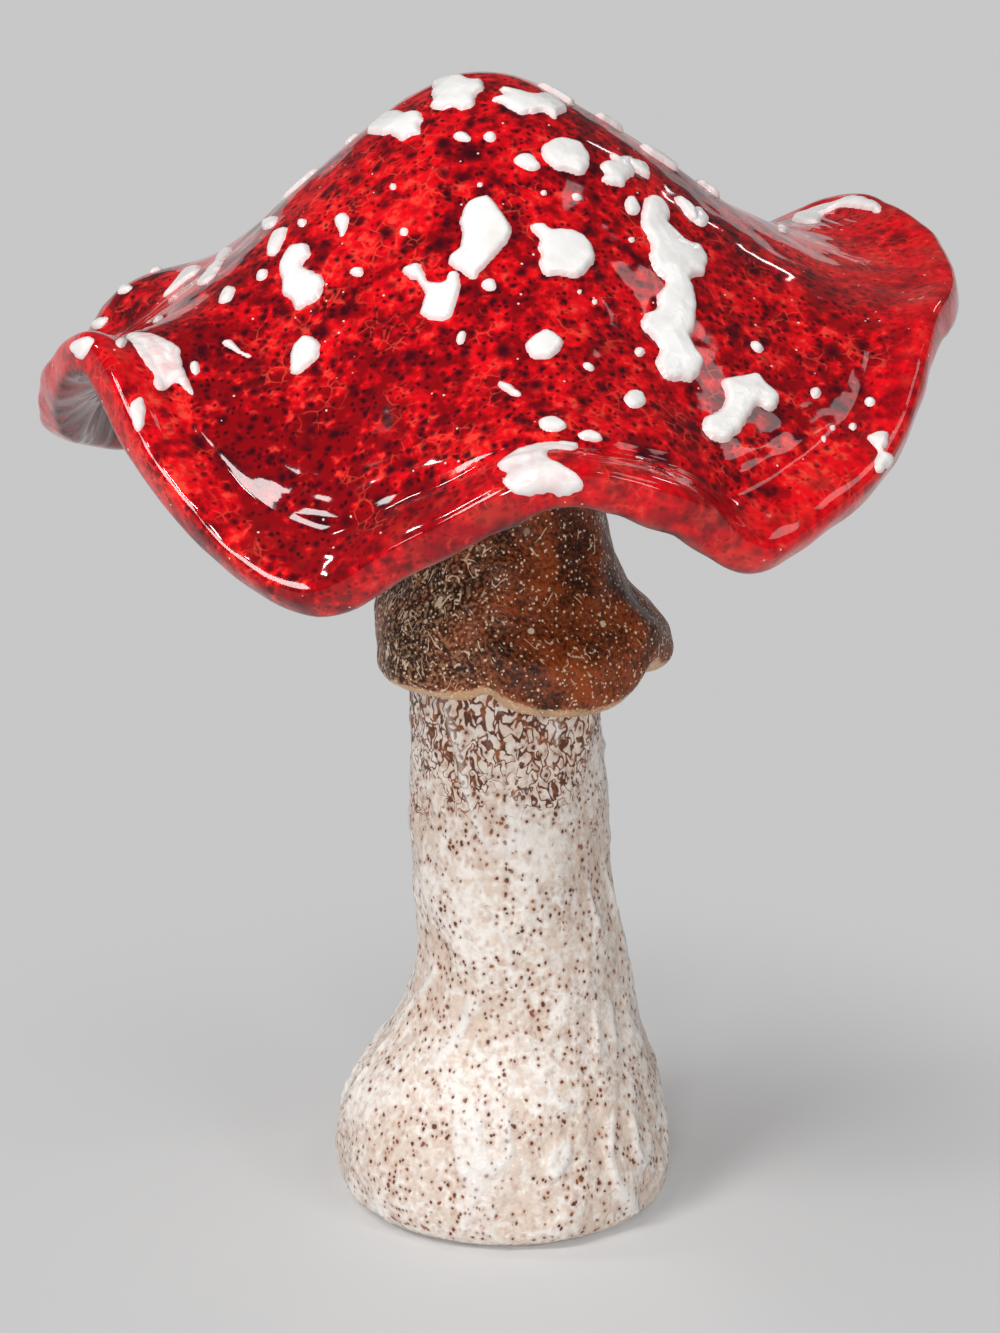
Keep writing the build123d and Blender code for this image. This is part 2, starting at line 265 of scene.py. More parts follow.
class GlazeColours(bpy.types.PropertyGroup):
    """Colours of the glazes."""

    red: colour("Red", "Body of the red glaze", (0.80, 0.003, 0.009))
    deep_red: colour("Deep red", "Thicker red glaze", (0.26, 0.001, 0.004))
    ember: colour("Ember", "Thin orange flecks in the red", (0.88, 0.075, 0.045))
    maroon: colour("Maroon", "Dark cells in the red", (0.032, 0.001, 0.005))
    shade: colour("Underside", "Dull glaze under the cap", (0.30, 0.050, 0.045))
    # Painted glints: tiny white points that stand in for highlights on small bumps of the red glaze
    painted_glint: colour("Pinholes", "Tiny bare points in the red", (0.93, 0.80, 0.70))
    white: colour("White", "Enamel of the spots", (0.93, 0.91, 0.89))
    milky: colour("Milky", "Thinner enamel of the spots", (0.70, 0.65, 0.61))
    blush: colour("Blush", "Thin white over red", (0.75, 0.33, 0.33))
    cream: colour("Cream", "Body of the stem's glaze", (0.94, 0.88, 0.82))
    beige: colour("Beige", "Hollows in the cream", (0.64, 0.44, 0.31))
    rust: colour("Rust", "Dark specks in the cream", (0.105, 0.025, 0.006))
    sienna: colour("Sienna", "Light specks in the cream", (0.34, 0.095, 0.025))
    straw: colour("Straw", "Dots and scratches in the brown", (0.88, 0.69, 0.48))
    brown: colour("Brown", "Body of the skirt's glaze", (0.40, 0.080, 0.016))
    dark_brown: colour("Dark brown", "Thick glaze of the skirt", (0.034, 0.009, 0.004))
    tan: colour("Tan", "Thin glaze along the skirt's edge", (0.72, 0.44, 0.25))


class StageLevels(bpy.types.PropertyGroup):
    """Levels of the studio."""

    floor: colour("Floor", "Grey of the floor", (0.78, 0.78, 0.78))
    far: colour("Far floor", "Even grey that the camera sees far off", (0.575, 0.575, 0.575))
    fill: number("Fill", "Strength of the world", 0.11)
    lamps: number("Lamps", "Level of all the softboxes", 1.0)


class MushroomSettings(bpy.types.PropertyGroup):
    """All the settings of the mushroom."""

    cap: PointerProperty(type=CapSizes)
    stem: PointerProperty(type=StemSizes)
    skirt: PointerProperty(type=SkirtSizes)
    spots: PointerProperty(type=SpotSizes)
    colours: PointerProperty(type=GlazeColours)
    stage: PointerProperty(type=StageLevels)


class Value:
    """A shader socket that adds Math nodes when it is used in an expression."""

    def __init__(self, glaze, socket):
        self.glaze = glaze
        self.socket = socket

    def math(self, operation, first, second=0.0):
        return self.glaze.value("ShaderNodeMath", {"operation": operation}, {0: first, 1: second})

    def __add__(self, other):
        return self.math("ADD", self, other)

    def __radd__(self, other):
        return self.math("ADD", other, self)

    def __sub__(self, other):
        return self.math("SUBTRACT", self, other)

    def __rsub__(self, other):
        return self.math("SUBTRACT", other, self)

    def __mul__(self, other):
        return self.math("MULTIPLY", self, other)

    def __rmul__(self, other):
        return self.math("MULTIPLY", other, self)

    def __abs__(self):
        return self.math("ABSOLUTE", self)

    def either(self, other):
        """The larger of two values."""
        return self.math("MAXIMUM", self, other)


class Glaze:
    """A node material with one Principled shader."""

    def __init__(self, name, **constants):
        self.material = bpy.data.materials.new(name)
        self.material.use_nodes = True
        self.tree = self.material.node_tree
        self.shader = self.tree.nodes["Principled BSDF"]
        for socket, constant in constants.items():
            title = socket.replace("_", " ").title().replace("Ior", "IOR")
            self.shader.inputs[title].default_value = constant
        self.place = self.value("ShaderNodeTexCoord", {}, {}, "Object")

    def node(self, kind, settings, inputs):
        """A node of a type, with its settings and the values or links of its sockets."""
        made = self.tree.nodes.new(kind)
        for key, setting in settings.items():
            setattr(made, key, setting)
        for key, given in inputs.items():
            if isinstance(given, Value):
                self.tree.links.new(given.socket, made.inputs[key])
            else:
                made.inputs[key].default_value = given
        return made

    def value(self, kind, settings, inputs, output=0):
        """One output of a new node."""
        return Value(self, self.node(kind, settings, inputs).outputs[output])

    def vector(self, operation, inputs, output=0):
        """The outcome of a Vector Math node."""
        return self.value("ShaderNodeVectorMath", {"operation": operation}, inputs, output)

    def set(self, socket, given):
        """Feed a socket of the shader."""
        self.tree.links.new(given.socket, self.shader.inputs[socket])

    def noise(self, scale, detail=2.0, distortion=0.0, place=None, output=0):
        """Cloudy noise at a number of lumps to the metre."""
        where = place or self.place
        inputs = {"Vector": where, "Scale": scale, "Detail": detail, "Distortion": distortion}
        return self.value("ShaderNodeTexNoise", {}, inputs, output)

    def cells(self, place, scale, feature="F1"):
        """Distance from the middle or the edge of scattered cells, and a chance for each cell."""
        made = self.node("ShaderNodeTexVoronoi", {"feature": feature}, {"Vector": place, "Scale": scale})
        distance = Value(self, made.outputs["Distance"])
        if feature == "DISTANCE_TO_EDGE":
            return distance, None
        chance = self.value("ShaderNodeSeparateColor", {}, {0: Value(self, made.outputs["Color"])})
        return distance, chance

    def ramp(self, given, low, high):
        """0 below low and 1 above high, smooth between; the other way round where low is the larger."""
        inputs = {"Value": given, "From Min": low, "From Max": high}
        return self.value("ShaderNodeMapRange", {"interpolation_type": "SMOOTHSTEP"}, inputs)

    def mix(self, share, first, second):
        """A colour between two colours."""
        pair = [c if isinstance(c, Value) else (*c, 1) for c in (first, second)]
        return self.value("ShaderNodeMix", {"data_type": "RGBA"}, {0: share, 6: pair[0], 7: pair[1]}, 2)

    def attribute(self, name):
        """A value that the mesh carries."""
        return self.value("ShaderNodeAttribute", {"attribute_name": name}, {}, "Fac")

    def warp(self, scale, amount, place=None):
        """A place pushed about by noise."""
        place = place or self.place
        push = self.noise(scale, 1.0, place=place, output=1)
        centred = self.vector("SUBTRACT", {0: push, 1: (0.5, 0.5, 0.5)})
        return self.vector("ADD", {0: place, 1: self.vector("SCALE", {0: centred, 3: amount})})

    def stretch(self, factors):
        """The place scaled along each axis."""
        return self.vector("MULTIPLY", {0: self.place, 1: factors})

    def strokes(self, angle, scale, width):
        """Long thin lines at an angle in degrees to the upright, as seen from the front."""
        inputs = {"Vector": self.place, "Angle": radians(angle)}
        turned = self.value("ShaderNodeVectorRotate", {"rotation_type": "Y_AXIS"}, inputs)
        drawn = self.warp(240, 0.0012, self.vector("MULTIPLY", {0: turned, 1: (1, 1, 0.22)}))
        return self.ramp(abs(self.noise(scale, 1.0, place=drawn) - 0.5), width, width * 0.4)

    def bump(self, height, distance):
        """Let a height roughen the surface."""
        inputs = {"Height": height, "Distance": distance, "Strength": 1.0}
        self.set("Normal", self.value("ShaderNodeBump", {}, inputs))


def largest(values):
    """The largest of several values."""
    return reduce(Value.either, values)


def red_glaze(colours):
    """Glossy red mottled with orange flecks and soft dark cells, dull underneath."""
    glaze = Glaze("red_glaze", roughness=0.06, ior=1.5, specular_ior_level=0.4)
    loose = glaze.warp(380, 0.0013)
    lip = glaze.attribute("lip")
    under = glaze.attribute("under")
    patches = glaze.noise(52) - 0.5
    mottle = glaze.noise(330, 3, place=loose)
    fleck = glaze.noise(640, place=glaze.warp(700, 0.0008))
    pools = glaze.noise(135, place=loose) - 0.5
    depth = mottle * 0.6 + fleck * 0.4 + patches * 0.40 + pools * 0.40
    # Painted shade: deeper red where the mesh carries painted shade
    depth = depth - glaze.attribute("sag") * 0.045 + 0.03
    body = glaze.mix(glaze.ramp(depth, 0.40, 0.60), colours.deep_red, colours.red)
    body = glaze.mix(glaze.ramp(pools + (mottle - 0.5) * 0.5, -0.08, -0.26) * 0.75, body, colours.maroon)
    flecks = glaze.ramp(fleck + (mottle - 0.5) * 0.7 + patches * 0.5 + pools * 0.4, 0.62, 0.84)
    flecks = flecks.either(lip * glaze.ramp(glaze.noise(170, place=loose), 0.46, 0.74) * 0.6)
    body = glaze.mix(lip * 0.35, body, colours.red)
    veins, _ = glaze.cells(glaze.warp(300, 0.0024), 400, "DISTANCE_TO_EDGE")
    broken = glaze.ramp(glaze.noise(150, place=loose) + patches * 0.4, 0.52, 0.68)
    veins = glaze.ramp(veins, 0.075, 0.015) * broken
    body = glaze.mix(flecks.either(veins * 0.8) * 0.70, body, colours.ember)
    dark = []
    layers = ((900, 0.55, 0.52), (560, 0.56, 0.48), (340, 0.54, 0.58), (210, 0.50, 0.74))
    for scale, size, rarity in layers:
        distance, chance = glaze.cells(loose, scale)
        cell = glaze.ramp(distance, size, size * 0.15)
        held = glaze.ramp(chance - patches * 0.9 - pools * 0.6, rarity - 0.06, rarity + 0.06)
        dark.append(cell * held)
    body = glaze.mix(largest(dark) * (1 - lip * 0.5) * 0.95, body, colours.maroon)
    # Painted glints: tiny scattered white points in place of highlights on small bumps
    distance, chance = glaze.cells(glaze.place, 430)
    painted_glints = glaze.ramp(distance, 0.10, 0.06) * glaze.ramp(chance, 0.62, 0.64)
    body = glaze.mix(painted_glints * 0.85, body, colours.painted_glint)
    wrinkled = glaze.noise(190, 3, 1.5)
    dull = glaze.mix(glaze.ramp(wrinkled, 0.35, 0.7), colours.shade, colours.maroon)
    glaze.set("Base Color", glaze.mix(glaze.ramp(under, 0.52, 0.76), body, dull))
    glaze.bump(glaze.noise(260, 1) * 0.5 + glaze.noise(110, 1) * 2.0, 0.00014)
    return glaze.material


def white_glaze(colours):
    """Thick white enamel, pink where it thins out over the red."""
    glaze = Glaze("white_glaze", roughness=0.18, ior=1.5)
    clouds = glaze.noise(260, 3)
    thin = glaze.attribute("edge") * 0.42
    blush = glaze.attribute("blush") * glaze.ramp(glaze.noise(330, 2, 0.6), 0.35, 0.7)
    body = glaze.mix(glaze.ramp(clouds, 0.45, 0.75) * 0.35, colours.white, colours.milky)
    glaze.set("Base Color", glaze.mix(thin.either(blush), body, colours.blush))
    glaze.bump(glaze.noise(420), 0.00020)
    return glaze.material


def cream_glaze(colours):
    """White on the raised places and beige in the hollows, speckled, with brown lines under the skirt."""
    glaze = Glaze("cream_glaze", ior=1.5, specular_ior_level=0.32)
    ridge = glaze.attribute("ridge")
    swell = glaze.attribute("swell")
    height = glaze.value("ShaderNodeSeparateXYZ", {}, {0: glaze.place}, "Z")
    clouds = glaze.noise(85, 3)
    fine = glaze.noise(620, 4, place=glaze.warp(500, 0.0012))
    lines_start, skirt_edge, glaze_end, clay_start = 0.070, 0.098, 0.106, 0.112
    bare = glaze.ramp(height, glaze_end, clay_start)
    near_skirt = glaze.ramp(height + (clouds - 0.5) * 0.05, lines_start, skirt_edge) * (1 - bare)
    hollow = glaze.ramp(fine * 0.9 + clouds * 0.5 - swell * 0.22, 0.54, 0.86) * (1 - ridge)
    # Near the skirt the beige hollows fade out: painted light that keeps the cream bright where the cap's
    # shadow falls
    body = glaze.mix(hollow * (1 - near_skirt * 0.7) * 0.60, colours.cream, colours.beige)
    body = glaze.mix(glaze.ramp(ridge, 0.2, 0.9) * 0.45, body, colours.white)
    wash = near_skirt * glaze.ramp(glaze.noise(260, 3), 0.40, 0.62)
    body = glaze.mix(wash * 0.36, body, colours.tan)
    loose = glaze.warp(700, 0.0007, glaze.stretch((1, 1, 0.8)))
    clusters = glaze.noise(150)
    specks, rings = [], []
    layers = ((620, 0.21, 0.40), (440, 0.18, 0.44), (880, 0.25, 0.44), (300, 0.14, 0.58))
    for scale, size, rarity in layers:
        distance, chance = glaze.cells(loose, scale)
        held = glaze.ramp(chance + (clusters - 0.5) * 2.6 - swell * 0.16, rarity, rarity + 0.08)
        specks.append(glaze.ramp(distance, size, size * 0.65) * held)
        rings.append(glaze.ramp(distance, size * 2.6, size * 0.6) * held)
    specks = largest(specks)
    swirled = glaze.warp(420, 0.0016, glaze.stretch((1, 1, 0.7)))
    swirl = glaze.noise(640, 1.0, 0.6, place=swirled)
    spread = abs(swirl - 0.5) - near_skirt * 0.060
    thick = glaze.ramp(glaze.noise(300) + near_skirt * 0.42, 0.42, 0.56)
    thick = thick * glaze.ramp(near_skirt, 0.03, 0.25)
    halo = largest(rings).either(glaze.ramp(spread, 0.055, 0.0) * thick)
    body = glaze.mix(halo * (1 - ridge * 0.8) * (near_skirt * 0.16 + 0.40), body, colours.sienna)
    marks = specks.either(glaze.ramp(spread, 0.020, -0.004) * thick)
    tone = glaze.mix(glaze.ramp(glaze.noise(700, 1), 0.45, 0.70), colours.rust, colours.sienna)
    body = glaze.mix(marks * (1 - ridge * 0.6) * 0.97, body, tone)
    clay = glaze.mix(specks * 0.5, colours.tan, colours.sienna)
    body = glaze.mix(bare, body, clay)
    glaze.set("Base Color", body)
    glaze.set("Roughness", bare * 0.45 + 0.22)
    glaze.bump(fine + glaze.noise(240) * 0.5, 0.00055)
    return glaze.material


def brown_glaze(colours):
    """Rust and dark brown, dotted and scratched with cream, tan along the edges."""
    glaze = Glaze("brown_glaze", roughness=0.40, ior=1.5, specular_ior_level=0.24)
    edge = glaze.attribute("edge")
    side = glaze.value("ShaderNodeSeparateXYZ", {}, {0: glaze.place}, "X")
    # The left side, where the key lamp falls, gets fine tan: partly real cream dust, partly painted light;
    # its brown is darker there and its scratches denser
    left = glaze.ramp(side, 0.004, -0.014)
    clouds = glaze.noise(110, 3, 0.4)
    fine = glaze.noise(1500, 3)
    depth = clouds * 0.55 + fine * 0.45 - left * 0.05 + edge * 0.05
    body = glaze.mix(glaze.ramp(depth, 0.38, 0.64), colours.dark_brown, colours.brown)
    body = glaze.mix(left * glaze.ramp(fine, 0.45, 0.65) * 0.48, body, colours.tan)
    rim = glaze.ramp(edge + (clouds - 0.5) * 0.9 + (fine - 0.5) * 0.9, 0.45, 1.0)
    body = glaze.mix(rim * 0.9, body, colours.tan)
    place = glaze.warp(600, 0.0006)
    marks = []
    layers = ((900, 0.23, 0.20), (680, 0.21, 0.25), (1200, 0.24, 0.60), (240, 0.17, 0.76))
    for scale, size, rarity in layers:
        distance, chance = glaze.cells(place, scale)
        marks.append(glaze.ramp(distance, size, size * 0.65) * glaze.ramp(chance, rarity, rarity + 0.05))
    for angle, shift in ((38, 0.02), (-24, 0.0), (8, 0.05)):
        gaps = glaze.noise(240 + angle) + left * 0.08
        marks.append(glaze.strokes(angle, 430, 0.022) * glaze.ramp(gaps, 0.61 + shift, 0.65 + shift))
    body = glaze.mix(largest(marks) * 0.95, body, colours.straw)
    glaze.set("Base Color", body)
    glaze.bump(clouds + fine * 0.35, 0.0008)
    return glaze.material


def dark_glaze(colours):
    """Dull maroon of the collar under the cap."""
    glaze = Glaze("dark_glaze", roughness=0.35, coat_weight=0.3, coat_roughness=0.1, ior=1.5)
    clouds = glaze.noise(160, 3)
    glaze.set("Base Color", glaze.mix(glaze.ramp(clouds, 0.35, 0.65), colours.shade, colours.maroon))
    glaze.bump(clouds, 0.0004)
    return glaze.material


def add_object(name, mesh, material):
    """Make a finished bmesh an object of the scene."""
    data = bpy.data.meshes.new(name)
    mesh.to_mesh(data)
    mesh.free()
    data.materials.append(material)
    made = bpy.data.objects.new(name, data)
    bpy.context.scene.collection.objects.link(made)
    return made


def add_piece(name, mesh, material, body, node):
    """Make a finished bmesh a smooth piece that rides on a body and stands for a CAD node."""
    for face in mesh.faces:
        face.smooth = True
    piece = add_object(name, mesh, material)
    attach(piece, body)
    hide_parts(node)


def spun(outline, steps, closed):
    """Spin an outline in the XZ plane round the Z axis, into a ring where the outline is closed."""
    mesh = bmesh.new()
    corners = [mesh.verts.new((out, 0, height)) for out, height in outline]
    edges = [mesh.edges.new(pair) for pair in zip(corners, corners[1:])]
    if closed:
        edges.append(mesh.edges.new((corners[-1], corners[0])))
    geometry = corners + edges
    bmesh.ops.spin(
        mesh, geom=geometry, cent=(0, 0, 0), axis=UP, angle=2 * pi, steps=steps, use_merge=True
    )
    bmesh.ops.remove_doubles(mesh, verts=mesh.verts, dist=1e-7)
    bmesh.ops.recalc_face_normals(mesh, faces=mesh.faces)
    return mesh


def places(mesh):
    """Coordinates of a bmesh's vertices as an array."""
    return np.array([vertex.co for vertex in mesh.verts])


def polar(points):
    """Distances of points from the axis, and their azimuths in degrees."""
    x, y = points[:, 0], points[:, 1]
    return np.hypot(x, y), np.degrees(np.arctan2(y, x))


def clouds(points, scale):
    """Noise from about -1 to 1 at points, with a number of lumps to the metre."""
    return np.array([noise.noise(point) for point in points * scale])


def smooth_step(given, low, high):
    """0 below low, 1 above high and smooth between."""
    share = np.clip((given - low) / (high - low), 0, 1)
    return share * share * (3 - 2 * share)


def near(given, middle, width):
    """1 at the middle, fading like a bell on either side of it."""
    return np.exp(-(((given - middle) / width) ** 2))


def near_azimuth(azimuth, middle, width):
    """1 at an azimuth in degrees, fading like a bell on either side of it."""
    return near((azimuth - middle + 180) % 360, 180, width)


def shape(mesh, points, **layers):
    """Move a bmesh's vertices and give them the values that its glaze reads."""
    for name, values in layers.items():
        layer = mesh.verts.layers.float.new(name)
        for vertex, given in zip(mesh.verts, values):
            vertex[layer] = given
    for vertex, point in zip(mesh.verts, points):
        vertex.co = point


def pushed_out(flat, push, shift):
    """Points pushed away from the axis and shifted along X."""
    out, _ = polar(flat)
    grown = flat[:, :2] * (1 + push / np.maximum(out, 1e-9))[:, None]
    return np.column_stack([grown[:, 0] + shift, grown[:, 1], flat[:, 2]])


def through(stations, place):
    """Smooth values of the stations' columns at places, through the stations on either side."""
    spots = stations[:, 0]
    rise = np.diff(stations[:, 1:], axis=0) / np.diff(spots)[:, None]
    slope = np.concatenate([rise[:1], (rise[:-1] + rise[1:]) / 2, rise[-1:]])
    index = np.clip(np.searchsorted(spots, place, side="right") - 1, 0, len(spots) - 2)
    span = (spots[index + 1] - spots[index])[:, None]
    share = np.clip((place[:, None] - spots[index][:, None]) / span, 0, 1)
    ease = smooth_step(share, 0, 1)
    level = stations[index, 1:] * (1 - ease) + stations[index + 1, 1:] * ease
    return (
        level
        + slope[index] * span * share * (1 - share) ** 2
        - slope[index + 1] * span * share**2 * (1 - share)
    ).T


def rim(azimuth):
    """Inset, drop and hump of the rim in metres, all the way round."""
    stations = np.array(RIM_STATIONS, float)
    turn = np.array([360, 0, 0, 0])
    ring = np.concatenate([stations[-3:] - turn, stations, stations[:3] + turn])
    return through(ring, np.mod(azimuth, 360)) * MM


def dome_drop(sizes, distance):
    """Fall of the plain dome at a distance from its axis."""
    return np.hypot(sizes.dome_slope * distance, sizes.dome_tip) - sizes.dome_tip


def cap_middle(sizes, azimuth, share):
    """Points of the cap's middle surface, at a share of the way from the dome's top to the rim."""
    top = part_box("cap")[1].z - sizes.wall / 2
    inset, drop, hump = rim(azimuth)
    reach = sizes.reach - inset
    lift = dome_drop(sizes, reach) - drop
    power = sizes.hump_power
    peak = (power + 1) * ((power + 1) / power) ** power
    height = top - dome_drop(sizes, share * reach) + lift * share**sizes.flare_power
    height = height + hump * peak * share**power * (1 - share)
    turn = np.radians(azimuth)
    out = share * reach
    across = sizes.dome_shift * (1 - share) + out * np.cos(turn)
    return np.stack([across, out * np.sin(turn), height], axis=1)


def unit(vectors):
    """Vectors of length 1."""
    return vectors / np.linalg.norm(vectors, axis=1, keepdims=True)


def cap_skin(sizes, azimuth, share, level):
    """Points of the cap's skin and the way they face: level 1 is the upper side, -1 the underside."""
    small = 0.01
    groove_share, groove_width = 0.925, 0.022
    held = np.maximum(share, small)
    middle = cap_middle(sizes, azimuth, share)
    outward = unit(cap_middle(sizes, azimuth, held) - cap_middle(sizes, azimuth, held - small))
    along = cap_middle(sizes, azimuth + 1, held) - cap_middle(sizes, azimuth - 1, held)
    normal = unit(np.cross(outward, along))
    half = (sizes.wall + (sizes.lip - sizes.wall) * share**sizes.lip_power) / 2
    front = np.clip(np.cos(np.radians(azimuth + 90)), 0, 1)
    half = half - front * sizes.groove * near(share, groove_share, groove_width) * (level > 0)
    turn = (level * pi / 2)[:, None]
    run, rise = np.abs(np.cos(turn)), np.sin(turn)
    square = sizes.lip_square
    offset = outward * run**square + normal * np.sign(rise) * np.abs(rise) ** square
    return middle + offset * half[:, None], outward * run + normal * rise


class MUSHROOM_OT_cap(bpy.types.Operator):
    """Model the waving cap as one closed shell and put it on the cap's body"""

    bl_idname = "mushroom.cap"
    bl_label = "Cap"
    segments = 384
    upper_rows = 120
    lip_rows = 18
    under_rows = 44
    lump_scales = (60, 150)
    wrinkle_turns = 9
    wrinkle_run = 2.5
    ripple_spacing = 0.032
    left_lobe_azimuth = -120
    right_slope_azimuth = -40
    thin_glaze_and_reflection_azimuth = 3

    def execute(self, context):
        settings = context.scene.mushroom
        sizes = settings.cap
        outline = [(row / self.upper_rows, 1.0) for row in range(self.upper_rows)]
        outline += [(1.0, 1 - 2 * row / self.lip_rows) for row in range(self.lip_rows + 1)]
        outline += [(row / self.under_rows, -1.0) for row in range(self.under_rows - 1, -1, -1)]
        mesh = spun(outline, self.segments, False)
        flat = places(mesh)
        out, azimuth = polar(flat)
        share = np.minimum(out, 1)
        level = flat[:, 2]
        points, facing = cap_skin(sizes, azimuth, share, level)
        large, small = self.lump_scales
        lumps = clouds(points, large) + 0.45 * clouds(points + 1, small)
        lumps = lumps - 0.5 - 0.8 * smooth_step(share, 0.8, 1)
        turn = np.radians(azimuth)
        turns, run = self.wrinkle_turns, self.wrinkle_run
        spokes = np.stack([turns * np.cos(turn), turns * np.sin(turn), run * share], axis=1)
        wrinkles = clouds(spokes, 1.6) * smooth_step(share, 0.25, 0.7) * (level < -0.5)
        waver = clouds(spokes, 0.7)
        ripples = np.sin(2 * pi * share / self.ripple_spacing + 3 * waver) * (level > -0.5)
        ripples *= smooth_step(share, 0.78, 0.92) * (1 - smooth_step(share, 0.955, 0.985))
        push = sizes.lump * lumps + sizes.wrinkle * wrinkles + sizes.ripple * ripples * (1 + waver)
        points = points + facing * push[:, None]
        # Painted shade: the middle of the dome, the left lobe's brim and the front right slope are painted
        # a deeper red where less light falls on them
        sag = smooth_step(share, 0.15, 0.5) * (1 - smooth_step(share, 0.86, 0.97))
        left_lobe = near_azimuth(azimuth, self.left_lobe_azimuth, 20)
        right_slope = near_azimuth(azimuth, self.right_slope_azimuth, 16)
        right_slope *= 1 - smooth_step(share, 0.93, 0.985)
        sag += (2.2 * left_lobe + 1.2 * right_slope) * smooth_step(share, 0.60, 0.82)
        # The right brim is painted lighter and more orange: partly thinner glaze, partly a painted
        # reflection of the right softbox
        thin = 0.9 * near_azimuth(azimuth, self.thin_glaze_and_reflection_azimuth, 20) * smooth_step(share, 0.62, 0.86)
        lip = np.maximum(near(share, 1, 0.05), thin) * (level > -0.9) * (1 - 0.8 * left_lobe)
        shape(mesh, points, lip=lip, under=0.5 - level / 2, sag=sag)
        add_piece("cap_shell", mesh, red_glaze(settings.colours), "cap_body", "cap")
        return {"FINISHED"}


def camera_axes():
    """The camera's place, with its right, up and forward directions."""
    tilt = radians(CAMERA_ELEVATION)
    back = Vector((0, -cos(tilt), sin(tilt)))
    right = Vector((1, 0, 0))
    return CAMERA_TARGET + back * CAMERA_DISTANCE, right, back.cross(right), -back


def seen_on(cap, pixels):
    """Points of the cap that the photograph shows at pixels, and the way the cap faces there."""
    place, right, up, forward = camera_axes()
    found = []
    for x, y in pixels:
        aside = right * ((x - PHOTO_WIDTH / 2) / PHOTO_FOCUS)
        ray = forward + aside - up * ((y - PHOTO_HEIGHT / 2) / PHOTO_FOCUS)
        hit, facing, _, _ = cap.ray_cast(place, ray.normalized())
        if hit is not None:
            found.append((hit, facing))
    return found


def smooth_outline(points, steps=4):
    """A closed outline rounded through its points."""
    before, after, beyond = (np.roll(points, step, axis=0) for step in (1, -1, -2))
    rounded = []
    for step in range(steps):
        t = step / steps
        rounded.append(
            0.5 * (
                2 * points
                + (after - before) * t
                + (2 * before - 5 * points + 4 * after - beyond) * t**2
                + (3 * points - before - 3 * after + beyond) * t**3
            )
        )
    return np.stack(rounded, axis=1).reshape(-1, 2)


def depth_inside(points, outline):
    """Distance of points from a closed outline, positive inside it."""
    ahead = np.roll(outline, -1, axis=0)
    edge = ahead - outline
    offset = points[:, None, :] - outline[None]
    along = np.clip((offset * edge).sum(2) / np.maximum((edge**2).sum(1), 1e-18), 0, 1)
    nearest = np.linalg.norm(offset - along[..., None] * edge, axis=2).min(1)
    across = (outline[:, 1] <= points[:, 1:]) != (ahead[:, 1] <= points[:, 1:])
    rise = np.where(np.abs(edge[:, 1]) < 1e-12, 1e-12, edge[:, 1])
    crossing = outline[:, 0] + (points[:, 1:] - outline[:, 1]) / rise * edge[:, 0]
    inside = (across & (points[:, :1] < crossing)).sum(1) % 2 == 1
    return np.where(inside, nearest, -nearest)


def plane_axes(normal):
    """Level and uphill directions in the plane that a normal stands on."""
    level = UP.cross(normal)
    if level.length < 1e-3:
        level = Vector((1, 0, 0))
    level.normalize()
    return level, normal.cross(level)


def spot_depth(points, outline, sizes):
    """Distance of points inside a spot whose border wanders in small scallops."""
    scale = 620
    wander = np.array([noise.noise((x * scale, y * scale, len(outline))) for x, y in points])
    return depth_inside(points, outline) + sizes.scallop * wander


def add_spot(mesh, cap, sizes, middle, normal, outline, height, blush):
    """One raised spot: a grid trimmed to its outline, thickened and laid on the cap."""
    level, uphill = plane_axes(normal)
    outline = smooth_outline(outline)
    margin = 1.6 * sizes.cell
    low, high = outline.min(0) - 2 * margin, outline.max(0) + 2 * margin
    counts = [max(4, ceil(span / sizes.cell)) for span in high - low]
    grid = bmesh.ops.create_grid(mesh, x_segments=counts[0], y_segments=counts[1], size=1)["verts"]
    for vertex in grid:
        x, y = (low + high) / 2 + np.array(vertex.co.xy) * (high - low) / 2
        vertex.co = (x, y, 0)
    depth = spot_depth(np.array([vertex.co.xy for vertex in grid]), outline, sizes)
    bmesh.ops.delete(mesh, geom=[v for v, d in zip(grid, depth) if d < -margin], context="VERTS")
    kept = [vertex for vertex in grid if vertex.is_valid]
    faces = list({face for vertex in kept for face in vertex.link_faces})
    raised = bmesh.ops.extrude_face_region(mesh, geom=faces)["geom"]
    tops = [item for item in raised if isinstance(item, bmesh.types.BMVert)]
    edge_layer = mesh.verts.layers.float["edge"]
    blush_layer = mesh.verts.layers.float["blush"]
    for group, is_top in ((kept, False), (tops, True)):
        depth = spot_depth(np.array([vertex.co.xy for vertex in group]), outline, sizes)
        for vertex, inside in zip(group, depth):
            over = middle + level * vertex.co.x + uphill * vertex.co.y
            hit, facing, _, _ = cap.ray_cast(over + normal * CAST_FROM, -normal)
            if hit is None:
                hit, facing, _, _ = cap.find_nearest(over)
            share = min(max(inside / sizes.edge, 0), 1)
            round_edge = (1 - (1 - share) ** 2) ** 0.5
            crown = 0.8 + 0.2 * min(max(inside, 0) / (3 * sizes.edge), 1)
            lift = height * round_edge * crown + min(inside, 0) / margin * sizes.sink
            vertex.co = hit + facing * (lift if is_top else -2 * sizes.sink)
            vertex[edge_layer] = 1 - min(max(inside / (0.55 * sizes.edge), 0), 1)
            vertex[blush_layer] = blush


def oval(width, depth, turn, lobes, points=14):
    """An oval outline with soft lobes."""
    angles = np.linspace(0, 2 * pi, points, endpoint=False)
    swell = 1 + lobes * (0.6 * np.cos(3 * angles + width * 7) + 0.4 * np.cos(5 * angles + depth * 3))
    x, y = width / 2 * swell * np.cos(angles), depth / 2 * swell * np.sin(angles)
    c, s = cos(turn), sin(turn)
    return np.stack([c * x - s * y, s * x + c * y], axis=1)


